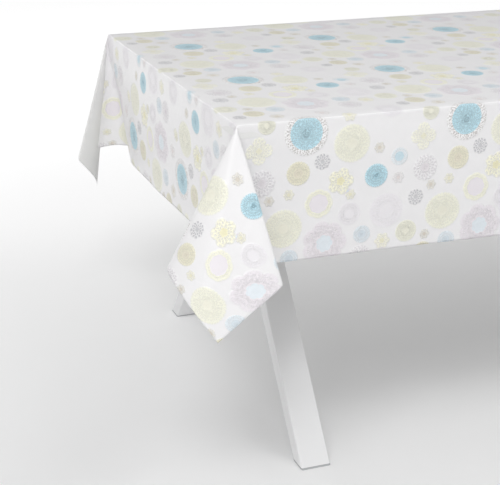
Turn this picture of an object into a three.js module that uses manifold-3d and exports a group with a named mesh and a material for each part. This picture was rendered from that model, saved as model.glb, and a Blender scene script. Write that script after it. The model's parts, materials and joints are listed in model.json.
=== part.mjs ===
// A dining table on two splayed steel leg frames, dressed with an oilcloth tablecloth.
//
// Millimetres, +Z up. The origin is on the floor under the middle of the table,
// +X runs along the table's length and +Y across it.
//
// From the floor up: glides, legs, apex plates, spine beam, cross bearers,
// edge-banded tabletop, and the cloth laid over it with a fold hanging at each corner.

import * as THREE from 'three';
import { ConvexGeometry } from 'three/addons/geometries/ConvexGeometry.js';
import { mergeVertices } from 'three/addons/utils/BufferGeometryUtils.js';
import Module from 'manifold-3d';

const wasm = await Module();
wasm.setup();

// ---------------------------------------------------------------- driving dimensions

const fitGap = 0.3;               // clearance between pieces that rest on or fit each other

// Tabletop
const tableLength = 1600;
const tableWidth = 900;
const tableHeight = 750;          // floor to the bare tabletop
const boardThickness = 25;
const bandThickness = 2;          // edge banding around the board

// Leg frames
const frameInset = 150;           // table end to the outer face of a leg frame
const footInset = 7;              // long table edge to the outer edge of a foot
const legWidth = 65;              // along the table
const legDepth = 37;              // square to the leg, in the plane of the frame
const legWall = 2.5;
const tubeRadius = 3;             // outer corner radius of every steel tube
const apexSeat = 22;              // width of the flat on top of a pair of legs
const apexPlateThickness = 8;
const apexPlateLength = 130;

// Plastic glides under the legs
const glidePad = 3;
const glidePlug = 30;
const plugClearance = 0.4;        // glide or cap plug to the tube it fits in

// Spine beam, running along the table under the bearers
const spineWidth = 50;
const spineHeight = 100;
const spineWall = 3;
const spineOverhang = 40;         // past the outer face of a leg frame

// Cross bearers
const bearerWidth = 60;
const bearerHeight = 40;
const bearerLength = 700;
const bearerWall = 2.5;

// Plastic end caps of the spine and the bearers
const capPlate = 3;
const capPlug = 12;

// Wood screws that hold the board to the bearers
const screwShank = 2.5;           // radius
const screwHead = 5.5;            // radius
const screwHeadHeight = 3;
const screwBite = 15;             // depth in the board
const screwEndInset = 40;         // from the end of a bearer to its outer screw
const screwPitch = 200;           // from the outer screw to the inner one
const screwPoint = 4;
const screwAccess = 7;            // radius of the hole that the screwdriver goes through

// Bolts that hold the apex plates to the spine
const boltShank = 4;              // radius
const boltHead = 7.5;             // radius over the corners of the hexagon
const boltHeadHeight = 5.3;
const boltSetback = 48;           // from the middle of a leg frame
const nutHeight = 6.5;
const boltStandout = 2;           // thread past the nut

// Tablecloth
const clothThickness = 1.2;
const clothDrop = 280;            // tabletop level to the hem
const foldSpread = 20.5;          // degrees from the middle of a corner fold to its side
const foldDepth = 7;              // degrees from the middle of a corner fold to its front
const foldSteps = 24;             // facets around a corner fold
const foldHollow = 12;            // how far the fold's hollow starts below its point
const foldTuck = 1.1;             // how far a fold's back is let into the cloth's corner

// ---------------------------------------------------------------- materials

function finish(color, roughness, metalness) {
  return new THREE.MeshStandardMaterial({ color, roughness, metalness });
}

const powderCoat = finish(0xe9eaeb, 0.45, 0.0);
const melamine = finish(0xf1f1ef, 0.5, 0.0);
const edgeBanding = finish(0xefefed, 0.5, 0.0);
const greyPlastic = finish(0xb9bbbd, 0.6, 0.0);
const zincSteel = finish(0xb4b7ba, 0.35, 1.0);
const oilcloth = finish(0xf3f3f1, 0.4, 0.0);

// ---------------------------------------------------------------- solids

// A manifold-3d solid from a closed three.js geometry.
function solid(geometry) {
  const bare = geometry.index ? geometry.toNonIndexed() : geometry.clone();
  bare.deleteAttribute('normal');
  bare.deleteAttribute('uv');
  const merged = mergeVertices(bare, 1e-4);
  const corners = merged.index.array;
  const kept = [];
  for (let i = 0; i < corners.length; i += 3) {
    const [a, b, c] = [corners[i], corners[i + 1], corners[i + 2]];
    if (a !== b && b !== c && c !== a) kept.push(a, b, c);
  }
  return new wasm.Manifold(new wasm.Mesh({
    numProp: 3,
    vertProperties: new Float32Array(merged.attributes.position.array),
    triVerts: new Uint32Array(kept),
  }));
}

// A three.js geometry from a manifold-3d solid.
function geometryOf(body) {
  const mesh = body.getMesh();
  const geometry = new THREE.BufferGeometry();
  geometry.setAttribute('position', new THREE.BufferAttribute(mesh.vertProperties, 3));
  geometry.setIndex(new THREE.BufferAttribute(mesh.triVerts, 1));
  geometry.computeVertexNormals();
  return geometry;
}

// A box from its lowest to its highest corner.
function block(low, high) {
  const size = high.map((value, axis) => value - low[axis]);
  const box = new THREE.BoxGeometry(...size);
  return box.translate(...low.map((value, axis) => value + size[axis] / 2));
}

// A rectangle with round corners, about the origin.
function roundedRectangle(width, height, radius) {
  const [x, y] = [width / 2, height / 2];
  const outline = new THREE.Shape();
  outline.moveTo(-x + radius, -y);
  outline.lineTo(x - radius, -y);
  outline.absarc(x - radius, -y + radius, radius, -Math.PI / 2, 0);
  outline.lineTo(x, y - radius);
  outline.absarc(x - radius, y - radius, radius, 0, Math.PI / 2);
  outline.lineTo(-x + radius, y);
  outline.absarc(-x + radius, y - radius, radius, Math.PI / 2, Math.PI);
  outline.lineTo(-x, -y + radius);
  outline.absarc(-x + radius, -y + radius, radius, Math.PI, Math.PI * 1.5);
  return outline;
}

// A bar of rounded rectangular section, standing on the XY plane.
function bar(width, height, length, radius = tubeRadius) {
  const outline = roundedRectangle(width, height, radius);
  return new THREE.ExtrudeGeometry(outline, { depth: length, bevelEnabled: false, curveSegments: 3 });
}

// The section inside a tube's wall, smaller by a clearance where something fits in it.
function boreBar(width, height, wall, length, clearance = 0) {
  const shrink = 2 * (wall + clearance);
  const radius = Math.max(tubeRadius - wall, 0) + 0.8;
  return bar(width - shrink, height - shrink, length, radius);
}

// A rectangular tube, open at both ends, standing on the XY plane.
function tube(width, height, wall, length) {
  const outside = solid(bar(width, height, length));
  const inside = solid(boreBar(width, height, wall, length + 2).translate(0, 0, -1));
  return outside.subtract(inside);
}

// Turns a standing bar or tube to lie along X, its section's width across the table.
const alongX = new THREE.Matrix4().makeBasis(
  new THREE.Vector3(0, 1, 0), new THREE.Vector3(0, 0, 1), new THREE.Vector3(1, 0, 0));

// Turns a standing bar or tube to lie along Y, its section's width upright.
const alongY = new THREE.Matrix4().makeBasis(
  new THREE.Vector3(0, 0, 1), new THREE.Vector3(1, 0, 0), new THREE.Vector3(0, 1, 0));

// A plain upright cylinder from one height to another.
function rod(radius, bottom, top, sides = 16) {
  const cylinder = new THREE.CylinderGeometry(radius, radius, top - bottom, sides);
  return cylinder.rotateX(Math.PI / 2).translate(0, 0, (bottom + top) / 2);
}

// ---------------------------------------------------------------- the scene

const group = new THREE.Group();

function place(name, geometry, material, x = 0, y = 0, z = 0) {
  const mesh = new THREE.Mesh(geometry, material);
  mesh.name = name;
  mesh.position.set(x, y, z);
  group.add(mesh);
}

const ends = [['left', -1], ['right', 1]];      // towards -X and +X
const sides = [['front', -1], ['back', 1]];     // towards -Y and +Y

// ---------------------------------------------------------------- levels and places

const boardBottom = tableHeight - boardThickness;
const bearerTop = boardBottom - fitGap;
const bearerBottom = bearerTop - bearerHeight;
const spineTop = bearerBottom - fitGap;
const spineBottom = spineTop - spineHeight;
const apexPlateTop = spineBottom - fitGap;
const apexPlateBottom = apexPlateTop - apexPlateThickness;
const legTop = apexPlateBottom - fitGap;
const legBottom = glidePad + fitGap;
const frameX = tableLength / 2 - frameInset - legWidth / 2;     // middle of a leg frame
const footOuterY = tableWidth / 2 - footInset;
const spineHalf = frameX + legWidth / 2 + spineOverhang;
const screwPlaces = [-1, 1].flatMap((side) => {
  const outer = bearerLength / 2 - screwEndInset;
  return [side * outer, side * (outer - screwPitch)];
});
const bearers = [['left', -frameX], ['middle', 0], ['right', frameX]];

// ---------------------------------------------------------------- tabletop and banding

function tabletop() {
  const [x, y] = [tableLength / 2 - bandThickness - fitGap, tableWidth / 2 - bandThickness - fitGap];
  let board = solid(block([-x, -y, boardBottom], [x, y, tableHeight]));
  for (const [, bearerX] of bearers) {
    for (const screwY of screwPlaces) {
      const top = boardBottom + screwBite + screwPoint + fitGap;
      const pilot = rod(screwShank + fitGap, boardBottom - 1, top, 12);
      board = board.subtract(solid(pilot.translate(bearerX, screwY, 0)));
    }
  }
  return geometryOf(board);
}

place('tabletop', tabletop(), melamine);

for (const [name, side] of sides) {
  const strip = new THREE.BoxGeometry(tableLength, bandThickness, boardThickness);
  const y = side * (tableWidth - bandThickness) / 2;
  place(`edge_band_${name}`, strip, edgeBanding, 0, y, boardBottom + boardThickness / 2);
}

for (const [name, end] of ends) {
  const width = tableWidth - 2 * (bandThickness + fitGap);
  const strip = new THREE.BoxGeometry(bandThickness, width, boardThickness);
  const x = end * (tableLength - bandThickness) / 2;
  place(`edge_band_${name}`, strip, edgeBanding, x, 0, boardBottom + boardThickness / 2);
}

// ---------------------------------------------------------------- legs and glides

const splay = Math.atan2(footOuterY - apexSeat / 2, legTop);
const legReach = 1.4 * Math.hypot(footOuterY, legTop);

// Leans a standing leg section inwards from its foot.
function lean(geometry, side) {
  const footMiddle = side * (footOuterY - legDepth / 2 / Math.cos(splay));
  return geometry.translate(0, 0, -legReach / 4).rotateX(side * splay).translate(0, footMiddle, 0);
}

// Keeps what lies between two heights, on one side of the frame's middle plane.
function trimmed(body, side, bottom, top) {
  const [near, far] = [side * fitGap / 2, side * tableWidth];
  const low = [-tableLength, Math.min(near, far), bottom];
  const high = [tableLength, Math.max(near, far), top];
  return body.intersect(solid(block(low, high)));
}

function leg(side) {
  const outside = solid(lean(bar(legWidth, legDepth, legReach), side));
  const inside = solid(lean(boreBar(legWidth, legDepth, legWall, legReach), side));
  return geometryOf(trimmed(outside.subtract(inside), side, legBottom, legTop));
}

function glide(side) {
  const outside = solid(lean(bar(legWidth, legDepth, legReach), side));
  const bore = solid(lean(boreBar(legWidth, legDepth, legWall, legReach, plugClearance), side));
  const pad = trimmed(outside, side, 0, glidePad);
  const plug = trimmed(bore, side, 0, glidePad + glidePlug);
  return geometryOf(pad.add(plug));
}

for (const [endName, end] of ends) {
  for (const [sideName, side] of sides) {
    place(`leg_${sideName}_${endName}`, leg(side), powderCoat, end * frameX);
    place(`glide_${sideName}_${endName}`, glide(side), greyPlastic, end * frameX);
  }
}

// ---------------------------------------------------------------- apex plates, bolts and nuts

const boltPlaces = [-boltSetback, boltSetback];

function apexPlate() {
  const half = [apexPlateLength / 2, spineWidth / 2];
  const low = [-half[0], -half[1], apexPlateBottom];
  let plate = solid(block(low, [half[0], half[1], apexPlateTop]));
  for (const x of boltPlaces) {
    const hole = rod(boltShank + fitGap, apexPlateBottom - 1, apexPlateTop + 1);
    plate = plate.subtract(solid(hole.translate(x, 0, 0)));
  }
  return geometryOf(plate);
}

function bolt() {
  const headTop = apexPlateBottom - fitGap;
  const tip = spineBottom + spineWall + fitGap + nutHeight + boltStandout;
  const head = solid(rod(boltHead, headTop - boltHeadHeight, headTop, 6));
  return geometryOf(head.add(solid(rod(boltShank, headTop - boltHeadHeight / 2, tip))));
}

function nut() {
  const bottom = spineBottom + spineWall + fitGap;
  const hexagon = solid(rod(boltHead, bottom, bottom + nutHeight, 6));
  const thread = solid(rod(boltShank + fitGap, bottom - 1, bottom + nutHeight + 1));
  return geometryOf(hexagon.subtract(thread));
}

for (const [name, end] of ends) {
  place(`apex_plate_${name}`, apexPlate(), powderCoat, end * frameX);
  for (const [position, x] of [['inner', -end * boltSetback], ['outer', end * boltSetback]]) {
    place(`bolt_${name}_${position}`, bolt(), zincSteel, end * frameX + x);
    place(`nut_${name}_${position}`, nut(), zincSteel, end * frameX + x);
  }
}

// ---------------------------------------------------------------- spine beam

// A plug-in plastic cap for a tube, its plate at the origin and its plug towards +Z.
function endCap(width, height, wall) {
  const plate = solid(bar(width, height, capPlate).translate(0, 0, -capPlate));
  const plug = solid(boreBar(width, height, wall, capPlate + capPlug, plugClearance).translate(0, 0, -capPlate));
  return geometryOf(plate.add(plug));
}

function spineBeam() {
  const length = 2 * (spineHalf - capPlate - fitGap);
  const lying = geometryOf(tube(spineWidth, spineHeight, spineWall, length));
  lying.translate(0, 0, -length / 2).applyMatrix4(alongX).translate(0, 0, spineTop - spineHeight / 2);
  let beam = solid(lying);
  for (const end of [-1, 1]) {
    for (const x of boltPlaces) {
      const hole = rod(boltShank + fitGap, spineBottom - 1, spineBottom + spineWall + 1);
      beam = beam.subtract(solid(hole.translate(end * frameX + x, 0, 0)));
    }
  }
  return geometryOf(beam);
}

place('spine_beam', spineBeam(), powderCoat);

for (const [name, end] of ends) {
  const cap = endCap(spineWidth, spineHeight, spineWall);
  cap.applyMatrix4(alongX);
  if (end > 0) cap.rotateZ(Math.PI);
  place(`spine_cap_${name}`, cap, greyPlastic, end * (spineHalf - capPlate), 0, spineTop - spineHeight / 2);
}

// ---------------------------------------------------------------- bearers, their caps and screws

function bearer() {
  const length = bearerLength - 2 * (capPlate + fitGap);
  const lying = geometryOf(tube(bearerHeight, bearerWidth, bearerWall, length));
  lying.translate(0, 0, -length / 2).applyMatrix4(alongY).translate(0, 0, bearerTop - bearerHeight / 2);
  let body = solid(lying);
  for (const y of screwPlaces) {
    const clearance = rod(screwShank + fitGap, bearerTop - bearerHeight / 2, bearerTop + 1, 12);
    const access = rod(screwAccess, bearerBottom - 1, bearerTop - bearerHeight / 2);
    body = body.subtract(solid(clearance.translate(0, y, 0)));
    body = body.subtract(solid(access.translate(0, y, 0)));
  }
  return geometryOf(body);
}

function woodScrew() {
  const bearing = bearerTop - bearerWall - fitGap;
  const tip = boardBottom + screwBite;
  const profile = [
    [0, bearing - screwHeadHeight],
    [screwHead * 0.8, bearing - screwHeadHeight],
    [screwHead, bearing - screwHeadHeight / 2],
    [screwHead, bearing],
    [screwShank, bearing],
    [screwShank, tip],
    [0, tip + screwPoint],
  ].map(([radius, height]) => new THREE.Vector2(radius, height));
  return new THREE.LatheGeometry(profile, 12).rotateX(Math.PI / 2);
}

for (const [name, x] of bearers) {
  place(`bearer_${name}`, bearer(), powderCoat, x);
  for (const [sideName, side] of sides) {
    const cap = endCap(bearerHeight, bearerWidth, bearerWall);
    cap.applyMatrix4(alongY);
    if (side > 0) cap.rotateZ(Math.PI);
    const y = side * (bearerLength / 2 - capPlate);
    place(`bearer_cap_${name}_${sideName}`, cap, greyPlastic, x, y, bearerTop - bearerHeight / 2);
  }
  screwPlaces.forEach((y, index) => {
    place(`screw_${name}_${index + 1}`, woodScrew(), zincSteel, x, y);
  });
}

// ---------------------------------------------------------------- tablecloth

// Distance from the table's middle to the cloth's outer face, along X and along Y.
const clothHalf = [tableLength, tableWidth].map((size) => size / 2 + fitGap + clothThickness);
const clothTop = tableHeight + fitGap + clothThickness;
const hemLevel = tableHeight - clothDrop;

// The hanging edge of a corner fold, seen from the table corner that it hangs from. The cloth
// beyond the corner is a square: its sides lie together at the back of the fold, its far corner
// is the fold's tip. Going once around the fold covers the square's right angle at the corner.
function foldEdge(reach) {
  const spread = Math.tan(THREE.MathUtils.degToRad(foldSpread));
  const depth = Math.tan(THREE.MathUtils.degToRad(foldDepth));
  const outward = new THREE.Vector3(-1, -1, 0).normalize();
  const across = new THREE.Vector3(1, -1, 0).normalize();
  const rays = [];
  for (let step = 0; step <= foldSteps; step += 1) {
    const turn = 2 * Math.PI * step / foldSteps;
    const ray = new THREE.Vector3(0, 0, -1);
    ray.addScaledVector(outward, depth * (1 - Math.cos(turn)));
    ray.addScaledVector(across, spread * Math.sin(turn));
    rays.push(ray.normalize());
  }
  const swept = [0];
  for (let step = 1; step <= foldSteps; step += 1) {
    swept.push(swept[step - 1] + rays[step].angleTo(rays[step - 1]));
  }
  return rays.map((ray, step) => {
    const angle = Math.PI / 2 * swept[step] / swept[foldSteps];
    return ray.multiplyScalar(reach / Math.max(Math.cos(angle), Math.sin(angle)));
  });
}

// One corner fold, its point at the origin, hanging towards -X and -Y.
function cornerFold() {
  const point = new THREE.Vector3();
  const edge = foldEdge(clothDrop);
  const axis = new THREE.Vector3(-1, -1, 0).normalize();
  axis.multiplyScalar(Math.tan(THREE.MathUtils.degToRad(foldDepth))).add(new THREE.Vector3(0, 0, -1));
  const start = axis.multiplyScalar(foldHollow);
  const below = foldEdge(clothDrop * 1.5).map((place) => place.add(start));
  const outside = solid(new ConvexGeometry([point, ...edge]));
  return outside.subtract(solid(new ConvexGeometry([start, ...below])));
}

function tablecloth() {
  const [x, y] = clothHalf;
  const outside = solid(block([-x, -y, hemLevel], [x, y, clothTop]));
  const low = [-x + clothThickness, -y + clothThickness, hemLevel - 1];
  const high = [x - clothThickness, y - clothThickness, clothTop - clothThickness];
  let cloth = outside.subtract(solid(block(low, high)));
  const fold = cornerFold();
  const tuck = foldTuck / Math.SQRT2;
  for (const end of [-1, 1]) {
    for (const side of [-1, 1]) {
      const corner = [end * (x - tuck), side * (y - tuck), clothTop];
      cloth = cloth.add(fold.scale([-end, -side, 1]).translate(corner));
    }
  }
  return geometryOf(cloth);
}

place('tablecloth', tablecloth(), oilcloth);

export default group;
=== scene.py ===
"""A dining table dressed with a printed and embossed oilcloth tablecloth."""

import json
import math

import bmesh
import bpy
import numpy as np
from bpy.props import FloatProperty, FloatVectorProperty, IntProperty, PointerProperty
from mathutils import Matrix, Vector


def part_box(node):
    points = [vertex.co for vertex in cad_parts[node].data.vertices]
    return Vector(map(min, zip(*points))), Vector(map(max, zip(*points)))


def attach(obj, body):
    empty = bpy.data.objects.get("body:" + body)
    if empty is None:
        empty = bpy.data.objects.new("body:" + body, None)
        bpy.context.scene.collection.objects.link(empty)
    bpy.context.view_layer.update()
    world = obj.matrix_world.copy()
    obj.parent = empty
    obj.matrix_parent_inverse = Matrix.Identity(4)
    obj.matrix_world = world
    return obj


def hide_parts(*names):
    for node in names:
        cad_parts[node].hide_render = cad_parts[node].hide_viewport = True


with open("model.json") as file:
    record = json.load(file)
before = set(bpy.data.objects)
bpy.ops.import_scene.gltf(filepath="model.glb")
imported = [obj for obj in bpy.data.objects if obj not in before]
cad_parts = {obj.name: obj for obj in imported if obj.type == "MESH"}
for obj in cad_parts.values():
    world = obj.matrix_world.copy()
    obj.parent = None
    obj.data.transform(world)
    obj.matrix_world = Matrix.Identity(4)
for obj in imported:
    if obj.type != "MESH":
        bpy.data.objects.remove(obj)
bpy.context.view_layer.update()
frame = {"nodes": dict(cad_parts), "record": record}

bl_info = {
    "name": "Dressed dining table",
    "version": (1, 0, 0),
    "blender": (4, 5, 0),
    "location": "3D View > Sidebar > Table",
    "description": "Finishes of a dining table and its draped oilcloth",
    "category": "Object",
}

MM = 0.001

# ---------------------------------------------------------------- places from the frame

BAND_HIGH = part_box("edge_band_back")[1]
TABLE_HALF = (BAND_HIGH[0], BAND_HIGH[1])
TABLE_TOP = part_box("tabletop")[1][2]
SLOTS = {item["node"]: item["material_slot"] for item in frame["record"]["subparts"]}


# ---------------------------------------------------------------- settings

class ClothSettings(bpy.types.PropertyGroup):
    """Cut, thickness and drape of the tablecloth."""

    drop: FloatProperty(
        name="Drop", description="How far the cloth hangs below the tabletop",
        default=0.280, unit="LENGTH")
    thickness: FloatProperty(
        name="Thickness", description="Coating and backing together", default=0.6 * MM, unit="LENGTH")
    air: FloatProperty(
        name="Air", description="Between the table and the cloth's underside",
        default=0.5 * MM, unit="LENGTH")
    give: FloatProperty(
        name="Give", description="How far the vinyl has sagged on its bias at each corner",
        default=16 * MM, unit="LENGTH")
    slip: FloatProperty(
        name="Slip", description="How far each loose fold has turned around its corner",
        default=0.125, subtype="ANGLE")
    edge_radius: FloatProperty(
        name="Edge radius", description="Bend of the cloth over the table's edge",
        default=3.0 * MM, unit="LENGTH")
    lying_cell: FloatProperty(
        name="Lying cell", description="Grid spacing on the tabletop", default=25 * MM, unit="LENGTH")
    cell: FloatProperty(
        name="Hanging cell", description="Grid spacing where the cloth hangs",
        default=4.4 * MM, unit="LENGTH")
    rough_cell: FloatProperty(
        name="Rough cell", description="Spacing of the simulated sheet's grid",
        default=20 * MM, unit="LENGTH")
    frames: IntProperty(
        name="Frames", description="Steps that the hanging cloth settles for", default=12)
    mass: FloatProperty(name="Mass", description="Of each of the solver's vertices", default=0.3)
    tension: FloatProperty(name="Tension", description="Stiffness against stretching", default=200.0)
    bending: FloatProperty(name="Bending", description="Stiffness against folding", default=100.0)
    settling: FloatProperty(
        name="Settling", description="Furthest that the stiff coating lets a crease move",
        default=6 * MM, unit="LENGTH")


class PrintSettings(bpy.types.PropertyGroup):
    """Repeat, colours and relief of the lace print."""

    repeat: FloatVectorProperty(
        name="Repeat", description="Size of the print's tile", size=2, default=(0.340, 0.361),
        unit="LENGTH")
    start: FloatVectorProperty(
        name="Start", description="Where the first tile begins on the flat cloth", size=2,
        default=(-0.662, -0.477), unit="LENGTH")
    relief: FloatProperty(
        name="Relief", description="Height of the embossed threads", default=1.2 * MM, unit="LENGTH")
    ground: FloatVectorProperty(
        name="Ground", description="The cloth between the motifs", subtype="COLOR",
        default=(0.855, 0.848, 0.855))


class StageSettings(bpy.types.PropertyGroup):
    """Camera, lights and floor."""

    camera_place: FloatVectorProperty(
        name="Camera", description="Where the camera stands", subtype="TRANSLATION",
        default=(-1.5791, -2.5368, 1.3505))
    yaw: FloatProperty(
        name="Yaw", description="Camera's turn from the table's width towards its length",
        default=math.radians(21.13), subtype="ANGLE")
    pitch: FloatProperty(
        name="Pitch", description="How far the camera looks down",
        default=math.radians(20.35), subtype="ANGLE")
    roll: FloatProperty(
        name="Roll", description="Camera's tilt", default=math.radians(0.52), subtype="ANGLE")
    lens: FloatProperty(name="Lens", description="Focal length in millimetres", default=91.1)
    floor: FloatVectorProperty(
        name="Floor", description="Colour of the floor", subtype="COLOR",
        default=(0.89, 0.89, 0.892))
    # Painted light: the floor glows far from the table and behind it, as a lit white backdrop would
    # look, though it is no lamp
    floor_glow: FloatProperty(
        name="Backdrop", description="Extra light from the floor far from the table", default=0.50)
    glow_behind: FloatVectorProperty(
        name="Glow behind", description="Depths at which the floor's own light starts and is full",
        size=2, default=(-0.3, 3.0), unit="LENGTH")
    glow_away: FloatVectorProperty(
        name="Glow away", description="Distances at which the floor's own light starts and is full",
        size=2, default=(2.5, 7.0), unit="LENGTH")
    surround: FloatProperty(
        name="Surround", description="Strength of the white room's light", default=0.50)


class Settings(bpy.types.PropertyGroup):
    """All settings of the dressed table."""

    cloth: PointerProperty(type=ClothSettings)
    lace: PointerProperty(type=PrintSettings)
    stage: PointerProperty(type=StageSettings)


# ---------------------------------------------------------------- node wiring

class Wiring:
    """Adds nodes to a node tree and joins them up."""

    def __init__(self, tree):
        self.tree = tree

    def node(self, kind, **settings):
        node = self.tree.nodes.new(kind)
        for name, value in settings.items():
            setattr(node, name, value)
        return node

    def feed(self, socket, value):
        if isinstance(value, bpy.types.NodeSocket):
            self.tree.links.new(value, socket)
        else:
            socket.default_value = value

    def math(self, operation, *values, clamp=False):
        node = self.node("ShaderNodeMath", operation=operation, use_clamp=clamp)
        for socket, value in zip(node.inputs, values):
            self.feed(socket, value)
        return node.outputs[0]

    def vector(self, operation, *values):
        node = self.node("ShaderNodeVectorMath", operation=operation)
        for socket, value in zip(node.inputs, values):
            self.feed(socket, value)
        return node.outputs["Value" if operation in {"LENGTH", "DOT_PRODUCT"} else "Vector"]

    def step(self, value, low, high):
        """0 where value is at or before low, 1 at or past high, smooth between."""
        node = self.node("ShaderNodeMapRange", interpolation_type="SMOOTHSTEP")
        for name, given in (("Value", value), ("From Min", low), ("From Max", high)):
            self.feed(node.inputs[name], given)
        return node.outputs["Result"]

    def mix(self, factor, first, second):
        node = self.node("ShaderNodeMix", data_type="RGBA")
        self.feed(node.inputs["Factor"], factor)
        for socket, value in ((node.inputs[6], first), (node.inputs[7], second)):
            self.feed(socket, (*value, 1.0) if isinstance(value, tuple) and len(value) == 3 else value)
        return node.outputs[2]

    def parts(self, vector):
        node = self.node("ShaderNodeSeparateXYZ")
        self.feed(node.inputs[0], vector)
        return node.outputs[:]


def new_group(name, inputs, outputs):
    """A shader node group, with its wiring and its input and output nodes."""
    tree = bpy.data.node_groups.new(name, "ShaderNodeTree")
    for kind, title, default in inputs:
        socket = tree.interface.new_socket(title, in_out="INPUT", socket_type=kind)
        if default is not None:
            socket.default_value = default
    for kind, title in outputs:
        tree.interface.new_socket(title, in_out="OUTPUT", socket_type=kind)
    wiring = Wiring(tree)
    return tree, wiring, wiring.node("NodeGroupInput"), wiring.node("NodeGroupOutput")


def new_material(name):
    """A material with a Principled shader, and its wiring."""
    material = bpy.data.materials.new(name)
    material.use_nodes = True
    material.node_tree.nodes.clear()
    wiring = Wiring(material.node_tree)
    shader = wiring.node("ShaderNodeBsdfPrincipled")
    output = wiring.node("ShaderNodeOutputMaterial")
    wiring.feed(output.inputs["Surface"], shader.outputs[0])
    return material, wiring, shader


def fine_grain():
    """Node group of a fine mottling in a surface's colour, gloss and level."""
    tree, wiring, given, made = new_group(
        "Fine grain",
        [("NodeSocketVector", "Place", None), ("NodeSocketFloat", "Scale", 500.0),
         ("NodeSocketColor", "Color", None), ("NodeSocketFloat", "Roughness", 0.5),
         ("NodeSocketFloat", "Depth", 0.05 * MM)],
        [("NodeSocketColor", "Color"), ("NodeSocketFloat", "Roughness"),
         ("NodeSocketVector", "Normal"), ("NodeSocketFloat", "Mask")])
    grain = wiring.node("ShaderNodeTexNoise")
    wiring.feed(grain.inputs["Vector"], given.outputs["Place"])
    wiring.feed(grain.inputs["Scale"], given.outputs["Scale"])
    grain.inputs["Detail"].default_value = 3.0
    mask = grain.outputs["Fac"]
    wiring.feed(made.inputs["Mask"], mask)
    darker = wiring.vector("MULTIPLY", given.outputs["Color"], (0.96, 0.96, 0.96))
    wiring.feed(made.inputs["Color"], wiring.mix(mask, darker, given.outputs["Color"]))
    gloss = wiring.math("MULTIPLY_ADD", mask, 0.12, -0.06)
    wiring.feed(made.inputs["Roughness"], wiring.math("ADD", gloss, given.outputs["Roughness"]))
    bump = wiring.node("ShaderNodeBump")
    wiring.feed(bump.inputs["Distance"], given.outputs["Depth"])
    wiring.feed(bump.inputs["Height"], mask)
    wiring.feed(made.inputs["Normal"], bump.outputs["Normal"])
    return tree


def add_grain(wiring, place, scale, color=(0.85, 0.85, 0.84), roughness=0.5, depth=0.05 * MM):
    """Adds the fine grain to a material, and returns its outputs."""
    node = wiring.node("ShaderNodeGroup")
    node.node_tree = bpy.data.node_groups.get("Fine grain") or fine_grain()
    wiring.feed(node.inputs["Place"], place)
    node.inputs["Scale"].default_value = scale
    node.inputs["Color"].default_value = (*color, 1.0)
    node.inputs["Roughness"].default_value = roughness
    node.inputs["Depth"].default_value = depth
    return node.outputs


# ---------------------------------------------------------------- the lace print

# Kinds of motif: colour, colour of its middle, then petals around its outline, ribs around it and
# rings across it, how deep the petals are cut, how wide the middle is and how far threads and
# eyelets differ, in relief in the middle and in painted shade and highlight, how much of the ground
# and of the eyelets is coloured, and how high it is raised.
# Eyelets are coloured like the rest at 0.5, less below it and more above it.
KINDS = {
    "medallion": (
        (0.64, 0.61, 0.58), (0.50, 0.73, 0.82), (0, 40, 9), (0.03, 0.70, 0.9), (0.0, 0.80, 1.0)),
    "blue_disc": (
        (0.50, 0.73, 0.82), (0.47, 0.71, 0.81), (24, 34, 5), (0.05, 0.3, 0.9), (1.0, 0.45, 1.0)),
    "blue_ring": (
        (0.80, 0.86, 0.90), (0.60, 0.77, 0.85), (16, 20, 4), (0.06, 0.5, 0.3), (0.9, 0.35, 0.8)),
    "pale_blue": (
        (0.74, 0.81, 0.86), (0.71, 0.79, 0.85), (18, 26, 4), (0.05, 0.4, 0.4), (0.9, 0.35, 0.7)),
    "butter": (
        (0.86, 0.855, 0.73), (0.88, 0.865, 0.74), (30, 40, 6), (0.04, 0.25, 0.25), (1.0, 0.4, 0.6)),
    "tan": (
        (0.82, 0.79, 0.63), (0.85, 0.80, 0.66), (24, 30, 5), (0.05, 0.35, 0.5), (1.0, 0.4, 0.8)),
    "rose": (
        (0.92, 0.90, 0.69), (0.92, 0.88, 0.60), (5, 15, 4), (0.35, 0.3, 0.4), (0.8, 0.3, 0.9)),
    "bow": (
        (0.90, 0.89, 0.74), (0.90, 0.88, 0.70), (4, 20, 5), (0.45, 0.2, 0.3), (0.8, 0.3, 0.6)),
    "yellow_flower": (
        (0.91, 0.89, 0.74), (0.91, 0.88, 0.68), (6, 12, 3), (0.35, 0.3, 0.3), (0.8, 0.35, 0.7)),
    "beige_flower": (
        (0.85, 0.82, 0.74), (0.82, 0.76, 0.67), (6, 12, 3), (0.35, 0.35, 0.4), (0.8, 0.3, 0.8)),
    "pink_flower": (
        (0.87, 0.84, 0.84), (0.86, 0.79, 0.78), (6, 12, 3), (0.35, 0.3, 0.3), (0.8, 0.3, 0.7)),
    "ring": (
        (0.92, 0.91, 0.75), (0.84, 0.80, 0.85), (8, 44, 6), (0.08, 0.62, 0.1), (0.95, 0.3, 0.6)),
    "rosette": (
        (0.55, 0.55, 0.58), (0.70, 0.70, 0.72), (8, 12, 3), (0.22, 0.2, 0.3), (0.1, 0.80, 0.9)),
    "lace": (
        (0.80, 0.77, 0.80), (0.84, 0.80, 0.83), (12, 18, 4), (0.12, 0.3, 0.4), (0.25, 0.75, 0.9)),
    "mauve": (
        (0.845, 0.825, 0.85), (0.85, 0.83, 0.855), (30, 50, 5), (0.03, 0.4, 0.1), (1.0, 0.4, 0.4)),
    "flower": (
        (0.82, 0.775, 0.815), (0.79, 0.86, 0.91), (7, 60, 5), (0.20, 0.34, 0.2), (0.9, 0.35, 0.7)),
}

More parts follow.
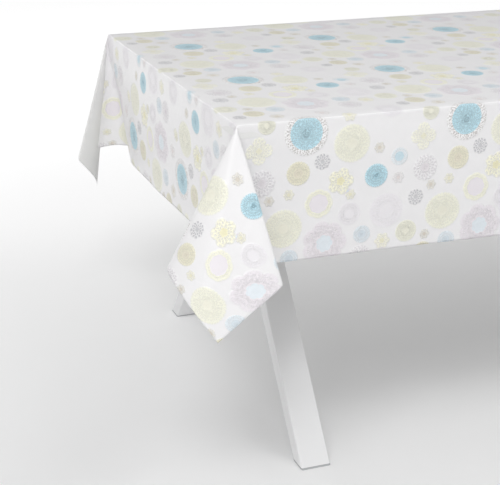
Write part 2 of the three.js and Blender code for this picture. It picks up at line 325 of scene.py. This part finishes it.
# One tile of the print: across, up and radius of each motif, in metres.
TILE = {
    "medallion": [(0.000, 0.000, 0.046)],
    "blue_disc": [(0.1485, -0.0976, 0.0255)],
    "blue_ring": [(0.1955, -0.063, 0.019)],
    "pale_blue": [(0.124, -0.216, 0.0195), (0.311, -0.249, 0.020)],
    "butter": [(0.094, -0.028, 0.040), (0.298, -0.186, 0.041), (0.220, -0.220, 0.0245),
               (0.260, 0.0214, 0.0187)],
    "tan": [(-0.014, -0.078, 0.0255), (0.260, -0.268, 0.022)],
    "rose": [(0.074, -0.102, 0.029)],
    "bow": [(0.246, -0.027, 0.029)],
    "yellow_flower": [(-0.032, -0.119, 0.012), (0.169, -0.235, 0.018), (0.096, -0.131, 0.0115),
                      (0.088, 0.030, 0.016)],
    "beige_flower": [(0.268, -0.1276, 0.0114), (0.262, -0.2316, 0.0115), (0.1525, -0.0417, 0.012),
                     (-0.045, -0.299, 0.016)],
    "pink_flower": [(0.196, -0.1057, 0.013), (0.045, -0.302, 0.017)],
    "ring": [(0.030, -0.143, 0.031)],
    "rosette": [(0.034, -0.0585, 0.0172), (0.236, -0.150, 0.0175), (0.225, -0.285, 0.014)],
    "lace": [(0.2533, -0.0909, 0.028), (0.122, -0.262, 0.025)],
    "mauve": [(0.174, -0.172, 0.038), (0.095, -0.170, 0.025), (0.178, -0.316, 0.030)],
    "flower": [(0.0445, -0.226, 0.050)],
}


def gather_motifs(wiring, place, lace):
    """Finds the motif that a place on the cloth lies in.

    Gives the place across and up the motif in radii, the radius, and the kind's number.
    The middle moves from motif to motif, so that the shader keeps few values at once.
    """
    tile = np.array([*lace.repeat, 1.0])
    here = wiring.vector("MULTIPLY_ADD", place, tuple(1 / tile), (0.5, 0.5, 0.0))
    before = np.zeros(3)
    local = (0.0, 0.0, 0.0)
    number = 0.0
    for index, spots in enumerate(TILE.values()):
        for across, up, radius in spots:
            spot = np.array([lace.start[0] + across, lace.start[1] + up, 0.0]) / tile
            here = wiring.vector("ADD", here, tuple(before - spot))
            before = spot
            size = tile * (1, 1, 0) / radius
            middle = -0.5 * size + (0, 0, radius)
            own = wiring.vector(
                "MULTIPLY_ADD", wiring.vector("FRACTION", here), tuple(size), tuple(middle))
            inside = wiring.math("LESS_THAN", wiring.vector("LENGTH", own), math.hypot(1, radius))
            local = wiring.vector("MULTIPLY_ADD", own, inside, local)
            number = wiring.math("MULTIPLY_ADD", inside, float(index + 1), number)
    return local, number


def look_up(wiring, number, rows):
    """Gives the row of values that belongs to a kind's number; kind 0 is no motif."""
    rows = [(0.0, 0.0, 0.0)] + rows
    node = wiring.node("ShaderNodeValToRGB")
    node.color_ramp.interpolation = "CONSTANT"
    steps = node.color_ramp.elements
    for index, row in enumerate(rows):
        place = max(0.0, (index - 0.5) / len(rows))
        step = steps[index] if index < 2 else steps.new(place)
        step.position = place
        step.color = (*row, 1.0)
    wiring.feed(node.inputs["Fac"], wiring.math("DIVIDE", number, float(len(rows))))
    return node.outputs["Color"]


def doily():
    """Node group of one crocheted motif: its outline, middle, threads and height."""
    tree, wiring, given, made = new_group(
        "Doily",
        [("NodeSocketVector", "Place", None), ("NodeSocketVector", "Counts", None),
         ("NodeSocketVector", "Cuts", None)],
        [("NodeSocketFloat", "Fill"), ("NodeSocketFloat", "Core"),
         ("NodeSocketFloat", "Threads"), ("NodeSocketFloat", "Height")])
    petals, ribs, rings = wiring.parts(given.outputs["Counts"])
    petal_depth, middle_size, contrast = wiring.parts(given.outputs["Cuts"])
    x, y, _ = wiring.parts(given.outputs["Place"])
    radius = wiring.math("SQRT", wiring.math("MULTIPLY_ADD", x, x, wiring.math("MULTIPLY", y, y)))
    angle = wiring.math("DIVIDE", wiring.math("ARCTAN2", y, x), math.tau)
    wobble = wiring.node("ShaderNodeTexNoise", noise_dimensions="2D")
    wiring.feed(wobble.inputs["Vector"], given.outputs["Place"])
    wobble.inputs["Scale"].default_value = 6.0
    wobble.inputs["Detail"].default_value = 1.0
    drift_in, drift_round, _ = wiring.parts(
        wiring.vector("SUBTRACT", wobble.outputs["Color"], (0.5, 0.5, 0.5)))

    # Outline with petals, and the distance from the middle as a share of it
    lobe_turn = wiring.math("MULTIPLY", wiring.math("MULTIPLY", angle, petals), math.pi)
    lobes = wiring.math("COSINE", lobe_turn)
    lobes = wiring.math("SQRT", wiring.math("ABSOLUTE", lobes))
    notch = wiring.math("MULTIPLY", petal_depth, wiring.math("SUBTRACT", 1.0, lobes))
    outline = wiring.math("SUBTRACT", 1.0, notch)
    share = wiring.math("DIVIDE", radius, outline)
    fill = wiring.step(share, 1.0, 0.88)
    wiring.feed(made.inputs["Fill"], fill)

    # Rings of thread, and ribs that step sideways from one ring to the next
    band = wiring.math("MULTIPLY", wiring.math("MULTIPLY_ADD", drift_in, 0.22, share), rings)
    ring = wiring.math("ABSOLUTE", wiring.math("SUBTRACT", wiring.math("FRACT", band), 0.5))
    ring = wiring.step(ring, 0.26, 0.46)
    stagger = wiring.math("MULTIPLY", wiring.math("FLOOR", band), 0.5)
    drifted = wiring.math("MULTIPLY_ADD", drift_round, 0.04, angle)
    turn = wiring.math("MULTIPLY_ADD", drifted, ribs, stagger)
    rib = wiring.math("ABSOLUTE", wiring.math("SUBTRACT", wiring.math("FRACT", turn), 0.5))
    threads = wiring.math("MAXIMUM", ring, wiring.step(rib, 0.16, 0.42))

    # The middle, smooth where threads hardly differ from eyelets, and the raised edges
    core = wiring.step(share, wiring.math("ADD", middle_size, 0.02), middle_size)
    wiring.feed(made.inputs["Core"], core)
    smooth = wiring.math("MULTIPLY", core, wiring.math("SUBTRACT", 1.0, contrast))
    threads = wiring.math("MULTIPLY", threads, wiring.math("SUBTRACT", 1.0, smooth))
    wiring.feed(made.inputs["Threads"], threads)
    core_edge = wiring.math("ABSOLUTE", wiring.math("SUBTRACT", share, middle_size))
    rims = wiring.math("MAXIMUM", wiring.step(share, 0.78, 0.86), wiring.step(core_edge, 0.06, 0.02))
    raised = wiring.math("MAXIMUM", threads, wiring.math("MULTIPLY", rims, 0.7))
    raised = wiring.math("MULTIPLY_ADD", raised, 0.7, 0.3)
    wiring.feed(made.inputs["Height"], wiring.math("MULTIPLY", raised, fill))
    return tree


def lace_print(lace):
    """Node group of the print: its colour with painted shade and highlight, and its relief as a
    tangent-space normal.
    """
    tree, wiring, given, made = new_group(
        "Lace print",
        [("NodeSocketVector", "Place", None), ("NodeSocketColor", "Ground", (*lace.ground, 1.0))],
        [("NodeSocketColor", "Color"), ("NodeSocketColor", "Relief"), ("NodeSocketFloat", "Printed")])
    local, number = gather_motifs(wiring, given.outputs["Place"], lace)
    kinds = [KINDS[kind] for kind in TILE]
    colour = look_up(wiring, number, [kind[0] for kind in kinds])
    middle_colour = look_up(wiring, number, [kind[1] for kind in kinds])
    counts = look_up(wiring, number, [tuple(value / 100 for value in kind[2]) for kind in kinds])
    counts = wiring.vector("SCALE", counts)
    counts.node.inputs["Scale"].default_value = 100.0
    cuts = look_up(wiring, number, [kind[3] for kind in kinds])
    covers = look_up(wiring, number, [kind[4] for kind in kinds])
    covered, eyelets_covered, height = wiring.parts(covers)

    relief = doily()
    step = 0.35 * MM
    radius = wiring.parts(local)[2]
    nudge = wiring.math("DIVIDE", step, wiring.math("MAXIMUM", radius, 1 * MM))
    seen = []
    for direction in ((0.0, 0.0, 0.0), (1.0, 0.0, 0.0), (0.0, 1.0, 0.0)):
        place = local
        if any(direction):
            place = wiring.vector("MULTIPLY_ADD", direction, nudge, local)
        look = wiring.node("ShaderNodeGroup")
        look.node_tree = relief
        wiring.feed(look.inputs["Place"], place)
        wiring.feed(look.inputs["Counts"], counts)
        wiring.feed(look.inputs["Cuts"], cuts)
        seen.append(look.outputs)
    motif = wiring.math("GREATER_THAN", number, 0.5)
    fill = wiring.math("MULTIPLY", seen[0]["Fill"], motif)
    wiring.feed(made.inputs["Printed"], fill)

    # Colour: the ground shows through the eyelets, or the other way round
    eyelets = wiring.math("SUBTRACT", 1.0, seen[0]["Threads"])
    eyelets_change = wiring.math("MULTIPLY_ADD", eyelets_covered, 2.0, -1.0)
    cover = wiring.math("MULTIPLY_ADD", eyelets, eyelets_change, covered, clamp=True)
    cover = wiring.math("MULTIPLY", cover, fill)
    printed = wiring.mix(cover, given.outputs["Ground"], colour)
    core = wiring.math("MULTIPLY", seen[0]["Core"], fill)
    core_cover = wiring.math("MULTIPLY", core, wiring.math("MULTIPLY_ADD", eyelets, -0.14, 1.0))
    printed = wiring.mix(core_cover, printed, middle_colour)
    # Painted shade and highlight: the eyelets are darkened as if shaded in their hollows and the raised
    # threads lightened as if lit, as far as the kind's threads and eyelets differ
    contrast = wiring.math("MULTIPLY", fill, wiring.parts(cuts)[2])
    shade = wiring.math("SUBTRACT", seen[0]["Threads"], 0.45)
    shade = wiring.math("MULTIPLY_ADD", wiring.math("MULTIPLY", shade, contrast), 0.34, 1.0)
    printed = wiring.vector("MULTIPLY", printed, shade)
    wiring.feed(made.inputs["Color"], printed)

    # Relief: how steeply the height changes across and up the cloth
    slope = wiring.math("MULTIPLY", wiring.math("MULTIPLY", height, motif), -0.5 * lace.relief / step)
    level = seen[0]["Height"]
    across = wiring.math("MULTIPLY", wiring.math("SUBTRACT", seen[1]["Height"], level), slope)
    up = wiring.math("MULTIPLY", wiring.math("SUBTRACT", seen[2]["Height"], level), slope)
    normal = wiring.node("ShaderNodeCombineXYZ")
    wiring.feed(normal.inputs["X"], wiring.math("ADD", across, 0.5))
    wiring.feed(normal.inputs["Y"], wiring.math("ADD", up, 0.5))
    wiring.feed(normal.inputs["Z"], 1.0)
    wiring.feed(made.inputs["Relief"], normal.outputs[0])
    return tree


def printed_oilcloth(lace):
    """The cloth's face: white vinyl, printed and embossed."""
    material, wiring, shader = new_material("Printed oilcloth")
    flat = wiring.node("ShaderNodeUVMap", uv_map="Flat cloth")
    pattern = wiring.node("ShaderNodeGroup")
    pattern.node_tree = lace_print(lace)
    wiring.feed(pattern.inputs["Place"], flat.outputs["UV"])
    wiring.feed(shader.inputs["Base Color"], pattern.outputs["Color"])
    grain = add_grain(wiring, flat.outputs["UV"], 900.0)["Mask"]
    rough = wiring.math("MULTIPLY_ADD", pattern.outputs["Printed"], 0.06, 0.25)
    rough = wiring.math("MULTIPLY_ADD", grain, 0.08, rough)
    wiring.feed(shader.inputs["Roughness"], rough)
    relief = wiring.node("ShaderNodeNormalMap", space="TANGENT", uv_map="Flat cloth")
    wiring.feed(relief.inputs["Color"], pattern.outputs["Relief"])
    waves = wiring.node("ShaderNodeTexNoise", noise_dimensions="2D")
    wiring.feed(waves.inputs["Vector"], flat.outputs["UV"])
    waves.inputs["Scale"].default_value = 45.0
    waves.inputs["Detail"].default_value = 3.0
    bump = wiring.node("ShaderNodeBump")
    bump.inputs["Distance"].default_value = 0.8 * MM
    level = wiring.math("MULTIPLY_ADD", grain, 0.03, waves.outputs["Fac"])
    wiring.feed(bump.inputs["Height"], level)
    wiring.feed(bump.inputs["Normal"], relief.outputs["Normal"])
    wiring.feed(shader.inputs["Normal"], bump.outputs["Normal"])
    return material


def cloth_backing():
    """The cloth's underside: plain white cotton fleece."""
    material, wiring, shader = new_material("Cloth backing")
    flat = wiring.node("ShaderNodeUVMap", uv_map="Flat cloth")
    nap = add_grain(wiring, flat.outputs["UV"], 700.0, (0.87, 0.87, 0.86), 0.9, 0.3 * MM)
    wiring.feed(shader.inputs["Base Color"], nap["Color"])
    wiring.feed(shader.inputs["Roughness"], nap["Roughness"])
    wiring.feed(shader.inputs["Normal"], nap["Normal"])
    return material


# ---------------------------------------------------------------- the drape

# How the cloth runs around a corner of the table, seen from straight above: each point is
# a sideways offset for one unit of drop. The line comes along the table's long side, goes around
# the fold and leaves along its end. The fold's own points are scaled to take up all the cloth.
LOOSE_RUN = (
    [(1.0, 0.0), (0.45, 0.0), (-0.043, 0.004)],
    [(0.122, -0.351), (0.117, -0.386), (-0.120, -0.288), (-0.294, -0.248), (-0.443, 0.048)],
    [(-0.029, 0.152), (0.0, 0.45), (0.0, 1.0)],
)
TUCKED_RUN = (
    [(1.0, 0.0), (0.45, 0.0), (-0.064, -0.029)],
    [(0.352, -0.686), (-0.418, -0.968), (-0.041, -0.078), (-0.935, 0.322), (-0.085, -0.174)],
    [(0.2, 0.162), (0.0, 0.45), (0.0, 1.0)],
)
CORNERS = {(-1, -1): LOOSE_RUN, (-1, 1): TUCKED_RUN, (1, -1): LOOSE_RUN, (1, 1): LOOSE_RUN}

# The run's angles on the flat cloth, in degrees: 0 to 90 is the square beyond the table's corner.
RUN_SPAN = (-45.0, 135.0)
# Drop at which a fold may start to reach under the table, and at which it may do so fully
CLEARANCE = (0.03, 0.11)
# Corners whose fold has slipped sideways, and the angles where the slip begins, is most and ends
SLIPPED = {(-1, -1), (1, -1), (1, 1)}
SLIP_ANGLES = (-0.35, 0.246, 1.275)
# Shares of the drop: where the slip would end, and how long it takes to fade
SLIP_FADE = (1.15, 0.5)
# Shares of the drop over which the sag grows and then fades
SAG_RAMPS = (0.25, 0.25)
# Angles from the corner's diagonal: where the sag starts to fade, and how long it takes
SAG_SIDES = (0.70, 0.35)


def smoothed(points, rounds):
    """Cuts the corners off a line of points, again and again."""
    points = np.array(points)
    for _ in range(rounds):
        near = 0.75 * points[:-1] + 0.25 * points[1:]
        far = 0.25 * points[:-1] + 0.75 * points[1:]
        between = np.stack([near, far], axis=1).reshape(-1, 2)
        points = np.vstack([points[:1], between, points[-1:]])
    return points


def run_rays(corner, fold_size):
    """Directions around a corner, for a fold of a given size, and the angle run through."""
    before, fold, after = corner
    line = smoothed(before + [(x * fold_size, y * fold_size) for x, y in fold] + after, 4)
    rays = np.column_stack([line, -np.ones(len(line))])
    rays /= np.linalg.norm(rays, axis=1, keepdims=True)
    turns = np.arccos(np.clip(np.sum(rays[1:] * rays[:-1], axis=1), -1.0, 1.0))
    return rays, np.concatenate([[0.0], np.cumsum(turns)])


def corner_run(corner):
    """Directions around a corner that take up all the cloth there."""
    low, high = 0.3, 2.0
    span = math.radians(RUN_SPAN[1] - RUN_SPAN[0])
    for _ in range(40):
        size = (low + high) / 2
        if run_rays(corner, size)[1][-1] < span:
            low = size
        else:
            high = size
    rays, run = run_rays(corner, size)
    even = np.linspace(0.0, span, 721)
    rays = np.column_stack([np.interp(even, run, rays[:, axis]) for axis in range(3)])
    for _ in range(3):
        rays[7:-7] = np.mean([rays[shift:len(rays) - 14 + shift] for shift in range(15)], axis=0)
    return rays, even + math.radians(RUN_SPAN[0])


def edge_bend(beyond, radius):
    """Inward and downward change that a bend makes near an edge, by the distance beyond it."""
    arc = np.clip((beyond + radius) / radius, 0.0, math.pi / 2)
    spare = radius * (2 - math.pi / 2)
    inward = np.where(beyond < 0, radius * (np.sin(arc) - arc), -radius * (1 - np.sin(arc)))
    inward = np.where((beyond <= -radius) | (arc >= math.pi / 2), 0.0, inward)
    down = radius * (1 - np.cos(arc)) - np.maximum(beyond, 0.0)
    down = np.where(beyond <= -radius, 0.0, np.where(arc >= math.pi / 2, spare, down))
    return inward, down


def drape(flat, half, top, cloth):
    """Places points of the flat cloth on the table and down its sides."""
    radius = cloth.edge_radius
    sign = np.where(flat < 0, -1.0, 1.0)
    beyond = np.abs(flat) - half
    # Seen as the corner at low X and low Y: a along the table's end, b along its front
    a, b = beyond[:, 0], beyond[:, 1]
    hang_x, hang_y = np.maximum(a, 0.0), np.maximum(b, 0.0)
    place = np.column_stack([-(half[0] + a - hang_x), -(half[1] + b - hang_y), -hang_x - hang_y])
    angle = np.arctan2(a, b)
    reach = np.hypot(a, b)
    share = np.maximum(a, b) / cloth.drop
    aside = np.abs(angle - math.pi / 4)
    sag = np.clip(share / SAG_RAMPS[0], 0.0, 1.0) * np.clip((1 - share) / SAG_RAMPS[1], 0.0, 1.0)
    sag *= np.clip(1.0 - (aside - SAG_SIDES[0]) / SAG_SIDES[1], 0.0, 1.0)
    reach += cloth.give * sag
    for corner, line in CORNERS.items():
        rays, run = corner_run(line)
        near = (angle >= run[0]) & (angle <= run[-1]) & np.all(sign == corner, axis=1)
        turned = angle[near]
        if corner in SLIPPED:
            slip = cloth.slip * np.clip((SLIP_FADE[0] - share[near]) / SLIP_FADE[1], 0.0, 1.0)
            phase = math.pi * np.interp(turned, SLIP_ANGLES, (-1.0, 0.0, 1.0))
            turned = turned + slip * (0.5 + 0.5 * np.cos(phase))
        ray = np.column_stack([np.interp(turned, run, rays[:, axis]) for axis in range(3)])
        hung = ray / np.linalg.norm(ray, axis=1, keepdims=True) * reach[near, None]
        clear = np.clip((-hung[:, 2] - CLEARANCE[0]) / (CLEARANCE[1] - CLEARANCE[0]), 0.0, 1.0)
        at_end = angle[near] > math.pi / 4
        for axis, part in ((0, at_end), (1, ~at_end)):
            hung[:, axis] = np.where(part & (hung[:, axis] > 0), hung[:, axis] * clear, hung[:, axis])
        place[near] = hung - (*half, 0.0)
    for axis, along, across in ((0, a, b), (1, b, a)):
        inward, down = edge_bend(along, radius)
        fade = np.clip(1 - across / (4 * radius), 0.0, 1.0)
        place[:, axis] -= inward * fade
        place[:, 2] -= down * fade
    place[:, :2] *= -sign
    place[:, 2] += top
    return place


def edge_lines(half, cloth):
    """Grid lines across the cloth: wide on the table, close through each bend and below it."""
    drop, cell, radius = cloth.drop, cloth.cell, cloth.edge_radius
    bend = [-radius, -0.45 * radius, 0.08 * radius, 0.6 * radius]
    flap = drop - bend[-1]
    hanging = [half + bend[-1] + flap * i / round(flap / cell) for i in range(1, round(flap / cell) + 1)]
    inner = half + bend[0]
    count = round(inner / cloth.lying_cell)
    lying = [inner * i / count for i in range(count)]
    side = lying + [half + step for step in bend] + hanging
    return np.array([-value for value in reversed(side[1:])] + side)


def grid_sheet(name, columns, rows):
    """A flat sheet with its lines at the given places, and its flat places as a UV map."""
    mesh = bpy.data.meshes.new(name)
    work = bmesh.new()
    uv = work.loops.layers.uv.new("Flat cloth")
    bmesh.ops.create_grid(
        work, x_segments=len(columns) - 1, y_segments=len(rows) - 1, size=1.0, calc_uvs=False)
    for vert in work.verts:
        column = round((vert.co.x + 1) / 2 * (len(columns) - 1))
        row = round((vert.co.y + 1) / 2 * (len(rows) - 1))
        vert.co = (columns[column], rows[row], 0.0)
    for face in work.faces:
        face.smooth = True
        for loop in face.loops:
            loop[uv].uv = loop.vert.co.xy
    work.to_mesh(mesh)
    work.free()
    sheet = bpy.data.objects.new(name, mesh)
    bpy.context.scene.collection.objects.link(sheet)
    return sheet


def coordinates(mesh):
    values = np.empty(len(mesh.vertices) * 3)
    mesh.vertices.foreach_get("co", values)
    return values.reshape(-1, 3)


def move_to(mesh, places):
    mesh.vertices.foreach_set("co", places.ravel())
    mesh.update()


def settled_shift(cloth, half, top):
    """Lets a rough copy of the cloth settle, and returns how far its lines' crossings moved."""
    counts = [2 * round((size + cloth.drop) / cloth.rough_cell) + 1 for size in half]
    lines = [np.linspace(-(size + cloth.drop), size + cloth.drop, count)
             for size, count in zip(half, counts)]
    rough = grid_sheet("rough cloth", *lines)
    flat = coordinates(rough.data)
    start = drape(flat[:, :2], half, top, cloth)
    move_to(rough.data, start)
    held = rough.vertex_groups.new(name="On the table")
    on_table = np.all(np.abs(flat[:, :2]) <= half + 0.25 * cloth.rough_cell, axis=1)
    held.add([int(index) for index in np.nonzero(on_table)[0]], 1.0, "REPLACE")
    modifier = rough.modifiers.new("Settling", "CLOTH")
    fabric = modifier.settings
    fabric.quality = 10
    fabric.mass = cloth.mass
    fabric.tension_stiffness = cloth.tension
    fabric.compression_stiffness = cloth.tension
    fabric.shear_stiffness = cloth.tension / 4
    fabric.bending_stiffness = cloth.bending
    fabric.tension_damping = 15.0
    fabric.bending_damping = 5.0
    fabric.air_damping = 4.0
    fabric.vertex_group_mass = held.name
    modifier.collision_settings.use_collision = False
    modifier.collision_settings.use_self_collision = False
    scene = bpy.context.scene
    modifier.point_cache.frame_start = 1
    modifier.point_cache.frame_end = cloth.frames
    for number in range(1, cloth.frames + 1):
        scene.frame_set(number)
    settled = rough.evaluated_get(bpy.context.evaluated_depsgraph_get())
    moved = coordinates(settled.data) - start
    scene.frame_set(1)
    if not np.all(np.isfinite(moved)):
        raise RuntimeError("the cloth did not settle")
    moved *= cloth.settling / (cloth.settling + np.linalg.norm(moved, axis=1, keepdims=True))
    order = np.lexsort((flat[:, 1], flat[:, 0]))
    bpy.data.objects.remove(rough)
    return lines, moved[order].reshape(*counts, 3)


def spline_weights(lines, places):
    """Weights that carry values on even lines to places between them, smoothly."""
    spacing = lines[1] - lines[0]
    weights = np.zeros((len(places), len(lines)))
    position = (places - lines[0]) / spacing
    for row, value in enumerate(position):
        first = int(np.clip(math.floor(value), 0, len(lines) - 2))
        share = value - first
        taps = ((1 - share) ** 3 / 6, (3 * share ** 3 - 6 * share ** 2 + 4) / 6,
                (-3 * share ** 3 + 3 * share ** 2 + 3 * share + 1) / 6, share ** 3 / 6)
        for offset, tap in zip((-1, 0, 1, 2), taps):
            weights[row, int(np.clip(first + offset, 0, len(lines) - 1))] += tap
    return weights


class TABLE_OT_cloth(bpy.types.Operator):
    """Cut, drape and finish the tablecloth"""

    bl_idname = "table.cloth"
    bl_label = "Tablecloth"

    def execute(self, context):
        settings = context.scene.dressed_table
        cloth = settings.cloth
        rise = cloth.air + cloth.thickness
        half = np.array(TABLE_HALF) + rise
        top = TABLE_TOP + rise
        columns = edge_lines(half[0], cloth)
        rows = edge_lines(half[1], cloth)
        sheet = grid_sheet("cloth", columns, rows)
        flat = coordinates(sheet.data)[:, :2]
        places = drape(flat, half, top, cloth)
        lines, shift = settled_shift(cloth, half, top)
        across = spline_weights(lines[0], columns)
        along = spline_weights(lines[1], rows)
        moved = np.einsum("ai,ijk,bj->abk", across, shift, along)
        column = np.searchsorted(columns, flat[:, 0] - 1e-5)
        row = np.searchsorted(rows, flat[:, 1] - 1e-5)
        places += moved[column, row]
        move_to(sheet.data, places)
        solidify = sheet.modifiers.new("Thickness", "SOLIDIFY")
        solidify.thickness = cloth.thickness
        solidify.offset = -1.0
        solidify.material_offset = 1
        solidify.material_offset_rim = 1
        sheet.data.materials.append(printed_oilcloth(settings.lace))
        sheet.data.materials.append(cloth_backing())
        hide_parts("tablecloth")
        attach(sheet, "cloth")
        return {"FINISHED"}


# ---------------------------------------------------------------- finishes of the table

# Finish of each material slot: name, colour, roughness, metallic, the grain's scale and its depth.
FINISHES = {
    "melamine_board": ("Melamine", (0.82, 0.82, 0.81), 0.45, 0.0, 400.0, 0.05 * MM),
    "edge_banding": ("Edge banding", (0.82, 0.82, 0.81), 0.5, 0.0, 300.0, 0.05 * MM),
    "white_powder_coat": ("Powder coat", (0.88, 0.88, 0.885), 0.42, 0.0, 700.0, 0.06 * MM),
    "grey_plastic": ("Grey plastic", (0.45, 0.46, 0.47), 0.55, 0.0, 900.0, 0.05 * MM),
    "zinc_steel": ("Zinc plate", (0.62, 0.63, 0.65), 0.32, 1.0, 500.0, 0.02 * MM),
}


def plain_finish(name, color, roughness, metallic, scale, depth):
    """A plain finish with a fine grain."""
    material, wiring, shader = new_material(name)
    place = wiring.node("ShaderNodeTexCoord")
    grain = add_grain(wiring, place.outputs["Object"], scale, color, roughness, depth)
    wiring.feed(shader.inputs["Base Color"], grain["Color"])
    wiring.feed(shader.inputs["Roughness"], grain["Roughness"])
    wiring.feed(shader.inputs["Normal"], grain["Normal"])
    shader.inputs["Metallic"].default_value = metallic
    return material


class TABLE_OT_finishes(bpy.types.Operator):
    """Finish the tabletop, its frame and its fittings"""

    bl_idname = "table.finishes"
    bl_label = "Finishes"

    def execute(self, context):
        finishes = {slot: plain_finish(*values) for slot, values in FINISHES.items()}
        for name, node in frame["nodes"].items():
            if name == "tablecloth":
                continue
            if SLOTS[name] not in finishes:
                raise RuntimeError(f"{name} has no finish for {SLOTS[name]}")
            node.data.materials.clear()
            node.data.materials.append(finishes[SLOTS[name]])
        return {"FINISHED"}


# ---------------------------------------------------------------- stage

# Each light's name, place, target, width and height, and power in watts.
LIGHTS = [
    ("key", (-2.6, -2.7, 4.1), (-0.6, -0.4, 0.4), (2.2, 2.2), 104.0),
    ("front edge", (0.9, -1.6, 3.3), (0.0, -0.45, 0.75), (2.5, 0.3), 17.0),
    ("end edge", (-1.9, 4.2, 1.7), (-0.8, 0.0, 0.7), (2.0, 0.8), 14.0),
]


def area_light(name, place, target, size, power):
    data = bpy.data.lights.new(name, "AREA")
    data.shape = "RECTANGLE"
    data.size, data.size_y = size
    data.energy = power
    light = bpy.data.objects.new(name, data)
    light.location = place
    light.rotation_euler = (Vector(target) - Vector(place)).to_track_quat("-Z", "Y").to_euler()
    bpy.context.scene.collection.objects.link(light)


class TABLE_OT_stage(bpy.types.Operator):
    """Set out the floor, the lights and the camera"""

    bl_idname = "table.stage"
    bl_label = "Stage"

    def execute(self, context):
        stage = context.scene.dressed_table.stage
        work = bmesh.new()
        bmesh.ops.create_grid(work, x_segments=1, y_segments=1, size=30.0)
        mesh = bpy.data.meshes.new("floor")
        work.to_mesh(mesh)
        work.free()
        floor = bpy.data.objects.new("floor", mesh)
        context.scene.collection.objects.link(floor)
        material, wiring, shader = new_material("Studio floor")
        shader.inputs["Base Color"].default_value = (*stage.floor, 1.0)
        shader.inputs["Roughness"].default_value = 0.6
        # Painted glow: the floor gives off its own light behind the table and far from it
        place = wiring.node("ShaderNodeTexCoord")
        behind = wiring.node("ShaderNodeMapRange")
        wiring.feed(behind.inputs["Value"], wiring.parts(place.outputs["Object"])[1])
        behind.inputs["From Min"].default_value = stage.glow_behind[0]
        behind.inputs["From Max"].default_value = stage.glow_behind[1]
        away = wiring.step(wiring.vector("LENGTH", place.outputs["Object"]), *stage.glow_away)
        glow = wiring.math("MAXIMUM", behind.outputs["Result"], away)
        wiring.feed(shader.inputs["Emission Strength"], wiring.math("MULTIPLY", glow, stage.floor_glow))
        shader.inputs["Emission Color"].default_value = (1.0, 1.0, 1.0, 1.0)
        floor.data.materials.append(material)

        for light in LIGHTS:
            area_light(*light)

        world = bpy.data.worlds.new("Studio")
        world.use_nodes = True
        background = world.node_tree.nodes["Background"]
        background.inputs["Color"].default_value = (1.0, 1.0, 1.0, 1.0)
        background.inputs["Strength"].default_value = stage.surround
        context.scene.world = world
        context.scene.view_settings.view_transform = "Standard"

        data = bpy.data.cameras.new("camera")
        data.lens = stage.lens
        data.sensor_width = 36.0
        camera = bpy.data.objects.new("camera", data)
        context.scene.collection.objects.link(camera)
        turn = Matrix.Rotation(-stage.yaw, 4, "Z") @ Matrix.Rotation(math.pi / 2 - stage.pitch, 4, "X")
        turn = turn @ Matrix.Rotation(stage.roll, 4, "Z")
        camera.matrix_world = Matrix.Translation(stage.camera_place) @ turn
        context.scene.camera = camera
        return {"FINISHED"}


# ---------------------------------------------------------------- panel and registration

class TABLE_PT_pieces(bpy.types.Panel):
    """The pieces of the dressed table."""

    bl_idname = "TABLE_PT_pieces"
    bl_label = "Dressed table"
    bl_space_type = "VIEW_3D"
    bl_region_type = "UI"
    bl_category = "Table"

    def draw(self, context):
        for operator in (TABLE_OT_stage, TABLE_OT_finishes, TABLE_OT_cloth):
            self.layout.operator(operator.bl_idname)


CLASSES = (
    ClothSettings, PrintSettings, StageSettings, Settings,
    TABLE_OT_stage, TABLE_OT_finishes, TABLE_OT_cloth, TABLE_PT_pieces,
)


def register():
    for cls in CLASSES:
        bpy.utils.register_class(cls)
    bpy.types.Scene.dressed_table = PointerProperty(type=Settings)


def unregister():
    del bpy.types.Scene.dressed_table
    for cls in reversed(CLASSES):
        bpy.utils.unregister_class(cls)


def main():
    register()
    bpy.ops.table.stage()
    bpy.ops.table.finishes()
    bpy.ops.table.cloth()


if __name__ == "__main__":
    main()
